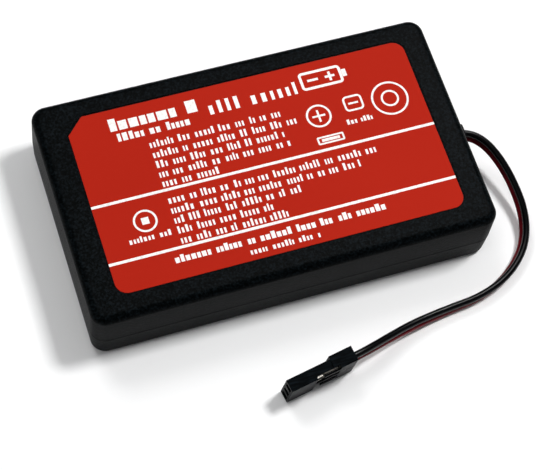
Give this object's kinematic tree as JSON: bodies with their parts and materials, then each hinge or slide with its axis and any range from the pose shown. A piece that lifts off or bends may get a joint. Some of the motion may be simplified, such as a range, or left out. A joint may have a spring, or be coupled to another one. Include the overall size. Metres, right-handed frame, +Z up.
{
  "type": "lithium polymer battery pack",
  "caption": "Slim rectangular rechargeable pack in a two-part moulded case with a recessed face label, a charging socket and a short twin lead to a servo-type plug.",
  "frame": {"origin": "centre of the underside of the case", "axes": "+X along the case towards the end where the lead comes out, +Y across it away from the side where the lead lies, +Z up out of the label"},
  "size_m": [0.0898, 0.0662, 0.015],
  "materials": {
    "case_abs": "black ABS, fine spark-eroded texture",
    "label_film": "red printed polyester film, matt laminate",
    "pouch_laminate": "aluminium and nylon pouch laminate, satin",
    "aluminium_tab": "rolled foil, satin",
    "nickel_tab": "nickel strip, satin",
    "bonding_tape": "double-sided tissue tape",
    "foam": "closed-cell foam, matt",
    "polyimide_film": "amber film, glossy",
    "board_laminate": "green solder mask, satin",
    "chip_body": "moulded epoxy, matt",
    "capacitor_ceramic": "fired ceramic",
    "fuse_polymer": "coated polymer sheet",
    "lamp_lens": "clear epoxy lamp body",
    "light_pipe_acrylic": "frosted acrylic",
    "socket_steel": "nickel-plated stamped steel",
    "socket_plastic": "glass-filled nylon",
    "gold_contact": "gold plated",
    "wire_black": "extruded PVC, satin",
    "wire_red": "extruded PVC, satin",
    "grommet_rubber": "moulded soft PVC, matt",
    "solder": "reflowed solder",
    "connector_plastic": "moulded nylon, satin",
    "tinned_bronze": "tin-plated phosphor bronze"
  },
  "bodies": {
    "root": {"upper_shell": "case_abs", "lower_shell": "case_abs", "face_label": "label_film", "cell_upper": "pouch_laminate", "cell_lower": "pouch_laminate", "cell_upper_tab_positive": "aluminium_tab", "cell_lower_tab_positive": "aluminium_tab", "cell_upper_tab_negative": "nickel_tab", "cell_lower_tab_negative": "nickel_tab", "cell_bonding_tape": "bonding_tape", "lower_foam_pad": "foam", "upper_foam_pad": "foam", "tab_insulation": "polyimide_film", "thermistor": "chip_body", "circuit_board": "board_laminate", "charge_chip": "chip_body", "protection_chip": "chip_body", "protection_transistors": "chip_body", "capacitors": "capacitor_ceramic", "resistors": "chip_body", "resettable_fuse": "fuse_polymer", "charge_led": "lamp_lens", "light_pipe": "light_pipe_acrylic", "usb_socket_shell": "socket_steel", "usb_socket_tongue": "socket_plastic", "usb_socket_contacts": "gold_contact", "black_wire": "wire_black", "red_wire": "wire_red", "exit_grommet": "grommet_rubber", "lead_solder": "solder", "connector_housing": "connector_plastic", "negative_terminal": "tinned_bronze", "positive_terminal": "tinned_bronze"}
  },
  "joints": []
}
